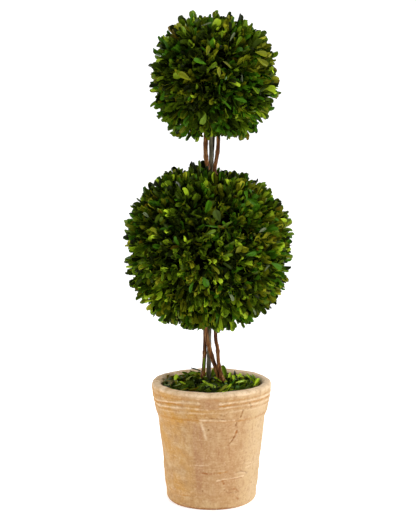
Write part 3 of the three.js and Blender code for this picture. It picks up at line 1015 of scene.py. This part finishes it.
def build_ball(ball):
    """One clipped ball: leaves clear of the stems and within reach, twigs and the dark inside."""
    rng = np.random.default_rng(ball["seed"])
    node = ball["name"] + "_ball"
    leaves = Leaves()
    twigs = [grow_spray(leaves, ball, index, rng) for index in range(ball["sprigs"])]
    grown = len(leaves.rows)
    shown = add_standing_out(leaves, ball, rng)

    def keep(points):
        out = np.linalg.norm(points - np.array(ball["centre"]), axis=-1)
        within = out.max(axis=(1, 2)) < ball["reach"] + 2
        apart = apart_from(points[:, 4, MIDRIB], shown, APART)
        placed = np.arange(len(points)) >= grown
        return clear_of_limbs(points, CLEARANCE) & ((within & apart) | placed)

    leaves.build(node + "_leaves", [node], keep)
    build_twigs(node, twigs)
    build_core(node, ball)


# ---- leaf litter ----
# Leaves that stand out in the pot: foot, tip, width, bend and colour. The narrow whitish one is a
# painted glint of shine.
LITTER_STANDING_OUT = [
    ((-15, -12, 157), (5, -36, 148), 7, -0.8, "bright"),
    ((-9.8, -4.4, 163), (-9.0, -6.5, 180), 3.2, 0.1, "mid"),
    ((-12, -20, 152), (-4, -42, 147), 8, 0.3, "mid"),
    ((-1, 12, 150), (5, 17, 162), 7, -0.4, "mid"),
    ((18, 2, 151), (13, 8, 168), 8, 0.9, "mid"),
    ((20, -14, 150), (24, -8, 162), 4.5, 0.4, "bright"),
    ((29, -16, 149), (27, -10, 159), 5, 0.4, "bright"),
    ((28, -17, 150), (44, -10, 151), 5, 0.5, "bright"),
    ((32, -4, 152), (43, -12, 151), 3, 0.2, "fresh"),
    ((44, 20, 156), (50, 10, 149), 3.5, 0.2, "bright"),
    ((53, -24, 149), (59.5, -12, 155), 5, 0.3, "bright"),
    ((33, 8, 152), (38, 15, 155), 5, 0.2, "bright"),
    ((-10, 49, 150), (-27, 60, 153), 3.5, 0.1, "deep"),
    ((-47, -8, 150), (-43, 0, 157), 6, 0.3, "bright"),
    ((-56, -4, 148), (-49, -16, 149), 5, 0.3, "fresh"),
    ((-18, 4, 155), (-31, -4, 151), 6, 0.4, "olive"),
    ((-31, 18, 154), (-36, 10, 150), 2.5, 0.2, "painted_light"),
    ((-19, 32, 154), (-29, 20, 152), 6, 0.3, "mid"),
    ((-2, -18, 151), (8, -34, 149), 5, 0.3, "dark"),
    ((-41, -18, 150), (-31, -36, 149), 5, 0.3, "mid"),
    ((23, -36, 149), (34, -43, 150), 7, 0.3, "fresh"),
]
LITTER_LEAVES = 900
# Beyond these radii the loose leaves lie along the wall, and are heaped up at the front.
LITTER_WALL = 46
LITTER_HEAP = 52
# How common each colour is among the loose leaves, and how many times that at the right.
# The larger share of bright, fresh and gold leaves at the right is painted light, where the key lamp
# falls.
LITTER_COLOURS = {
    "deep": (2.2, 1.0), "dark": (3.4, 0.9), "mid": (2.2, 1.5),
    "fresh": (0.9, 1.6), "bright": (0.4, 6.0), "olive": (2.0, 0.8),
    "gold": (0.2, 2.5), "brown": (1.0, 0.6), "painted_light": (0.05, 2.0),
}
# How far the litter keeps from the pot's inner wall.
WALL_GAP = 0.6


def bed_height(radius):
    """The mound of litter, from its crown down to its edge."""
    share = np.clip(radius / LITTER_RADIUS, 0, 1) ** 1.5
    return LITTER_CROWN + (LITTER_EDGE - LITTER_CROWN) * share


def build_litter_bed():
    """The uneven ground under the loose leaves, near-black: painted shade beneath them."""
    rim = inner_radius(FILL_TOP) - WALL_GAP
    rows, columns = 30, 90
    turn = circle(columns)[None]
    out = np.linspace(0.6, rim, rows)[:, None]
    top = round_points(out, turn, bed_height(out))
    top[..., 2] += 1.4 * smooth_noise(top, 9, 6)
    skin = np.concatenate([top, round_points(rim, turn, FILL_TOP + 0.4)])
    faces = closed_faces(rows + 1, columns, True)
    make_piece("litter_bed", skin, faces, PAINTED_SHADE, ["leaf_litter"])


def add_loose_leaf(leaves, index, rng):
    """Adds one narrow, curled leaf of the even spiral over the bed."""
    radius = LITTER_RADIUS * math.sqrt((index + 0.5) / LITTER_LEAVES)
    middle = on_spiral(index, radius, bed_height(radius) + 0.5 + 5 * rng.uniform() ** 1.5)
    middle[2] += 2 * (radius > LITTER_HEAP and middle[1] < 0)
    heading = rng.uniform(0, TAU)
    if radius > LITTER_WALL:
        heading = index * GOLDEN_ANGLE + math.pi / 2 + rng.normal(0, 0.4)
    pitch = rng.normal(0.05, 0.2)
    flat = np.array([math.cos(heading), math.sin(heading), 0])
    along = leant(flat, pitch, np.array([0.0, 0.0, 1.0]))
    face = square_to(along, np.array([0, 0, 1.0]) + 0.6 * rng.normal(0, 1, 3))
    # Painted light: at the right, where the key lamp falls, leaves are drawn more often from the lighter
    # colours.
    at_right = middle[0] > 10
    shares = [LITTER_COLOURS[name] for name in COLOUR_NAMES]
    odds = np.array([common * more**at_right for common, more in shares])
    length = rng.uniform(13, 23)
    leaves.add(
        foot=middle - along * length / 2, along=along, face=face, length=length,
        width=length * rng.uniform(0.2, 0.32), bend=rng.normal(0.3, 0.5), cup=rng.uniform(0.4, 1.2),
        fold=rng.uniform(0.1, 1.0), wave=rng.normal(0, 0.2),
        colour=rng.choice(len(odds), p=odds / odds.sum()),
    )


def add_litter_standing_out(leaves):
    """Adds the placed leaves of the litter and returns three points along each."""
    shown = []
    for foot, tip, width, bend, colour in LITTER_STANDING_OUT:
        start, end = np.array(foot, float), np.array(tip, float)
        chord = unit(end - start)
        face = square_to(chord, np.array([0.1, -0.6, 1]))
        along = unit(chord + face * math.sin(bend / 2))
        leaves.add(
            foot=start, along=along, face=unit(face - chord * np.dot(face, along)),
            length=np.linalg.norm(end - start) * 1.04, width=width, bend=-bend, cup=0.6, fold=0.3,
            wave=0.1, colour=COLOUR_NAMES.index(colour),
        )
        shown += [start + (end - start) * share for share in (0.2, 0.5, 0.8)]
    return np.array(shown)


def build_litter():
    """The bed and the loose leaves on it, inside the pot's mouth and off the stems."""
    build_litter_bed()
    rng = np.random.default_rng(31)
    leaves = Leaves()
    for index in range(LITTER_LEAVES):
        add_loose_leaf(leaves, index, rng)
    shown = add_litter_standing_out(leaves)

    def keep(points):
        heights, middles = points[..., 2], points[:, 3, MIDRIB]
        out = np.hypot(points[..., 0], points[..., 1])
        inside = (out < inner_radius(heights) - WALL_GAP).all(axis=(1, 2))
        above = heights.min(axis=(1, 2)) > 139
        # At the back, where the rim is seen over the litter, only those at the left reach above it.
        limit = np.where(middles[:, 1] > 15, 150 + 2.5 * (middles[:, 0] < -5), 160)
        below = heights.max(axis=(1, 2)) < limit
        clear = clear_of_limbs(points, LITTER_CLEARANCE) & apart_from(middles, shown, LITTER_APART)
        return (inside & above & below & clear) | (np.arange(len(points)) >= LITTER_LEAVES)

    leaves.build("litter_leaves", ["leaf_litter"], keep)


# ---- floor and light ----
# Places and sizes here are in metres. The floor lies a little below the pot's underside.
FLOOR = -0.0002
# Sheets: corners, grey and glow.
SHEETS = {
    "floor": ([(-30, -30, FLOOR), (30, -30, FLOOR), (30, 30, FLOOR), (-30, 30, FLOOR)], 0.85, 0.6),
    "backdrop": ([(-6, 3, -0.1), (6, 3, -0.1), (6, 3, 5), (-6, 3, 5)], 0.2, 1.0),
}
WORLD_STRENGTH = 0.22
# Area lights: place, target, size and watts.
LIGHTS = {
    "key": ((1.5, -0.9, 1.3), (0, 0, 0.3), 0.5, 26.5),
    "left": ((-1.6, -0.2, 0.8), (0, 0, 0.3), 1.2, 14),
    "top": ((0.2, -0.5, 2.3), (0, 0, 0.4), 1.0, 15),
}


def build_stage():
    """A white floor and backdrop, and a soft white world."""
    for name, (corners, grey, glow) in SHEETS.items():
        shader = Shader("white_" + name, 0.9, (grey, grey, grey), specular=0.1)
        shader.surface.inputs["Emission Color"].default_value = (1, 1, 1, 1)
        shader.surface.inputs["Emission Strength"].default_value = glow
        sheet = add_mesh(name, corners, [(0, 1, 2, 3)], shader.material)

    world = bpy.data.worlds.new("studio")
    world.use_nodes = True
    background = world.node_tree.nodes["Background"]
    background.inputs["Color"].default_value = (1, 1, 1, 1)
    background.inputs["Strength"].default_value = WORLD_STRENGTH
    bpy.context.scene.world = world


def area_light(name, place, target, size, power):
    data = bpy.data.lights.new(name, "AREA")
    data.size = size
    data.energy = power
    light = bpy.data.objects.new(name, data)
    light.location = place
    light.rotation_euler = (Vector(target) - Vector(place)).to_track_quat("-Z", "Y").to_euler()
    bpy.context.scene.collection.objects.link(light)


build_pot()
for number, (limb_name, limb) in enumerate(LIMBS.items()):
    build_limb(limb_name, *limb, seed=40 + 10 * number)
build_ball(LOWER_BALL)
build_ball(UPPER_BALL)
build_litter()
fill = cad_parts["fill"]
fill.data.materials.clear()
fill.data.materials.append(FOAM)
build_stage()
for light_name, (place, target, size, power) in LIGHTS.items():
    area_light(light_name, place, target, size, power)
bpy.context.scene.view_settings.view_transform = "Standard"
